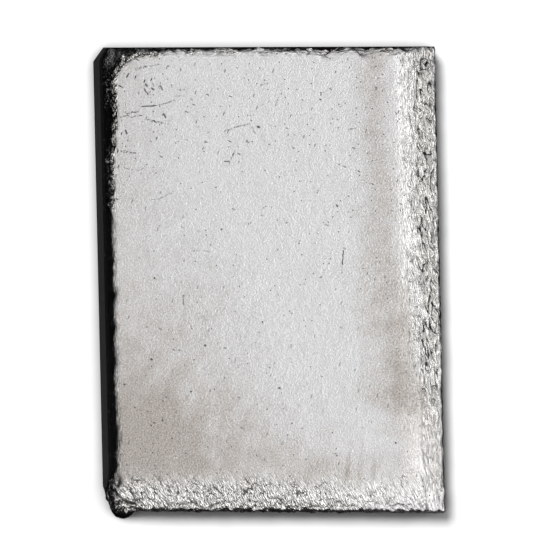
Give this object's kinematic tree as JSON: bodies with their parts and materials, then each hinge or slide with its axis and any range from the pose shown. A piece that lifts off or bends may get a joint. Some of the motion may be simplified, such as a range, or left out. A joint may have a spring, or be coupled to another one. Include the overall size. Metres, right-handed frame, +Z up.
{
  "type": "cast silver ingot",
  "caption": "Small hand-poured silver bar: a flat-topped block with leaning walls, one wide rolled shoulder, crinkled edges and a droplet at one corner.",
  "frame": {"origin": "middle of the base, on the surface that the ingot lies on", "axes": "+Y along the ingot towards its back wall, +X towards the wall with the wide rolled shoulder, +Z up out of the smaller face"},
  "size_m": [0.0466, 0.0642, 0.0108],
  "materials": {
    "cast_silver": "satin"
  },
  "bodies": {
    "root": {"ingot": "cast_silver"}
  },
  "joints": []
}
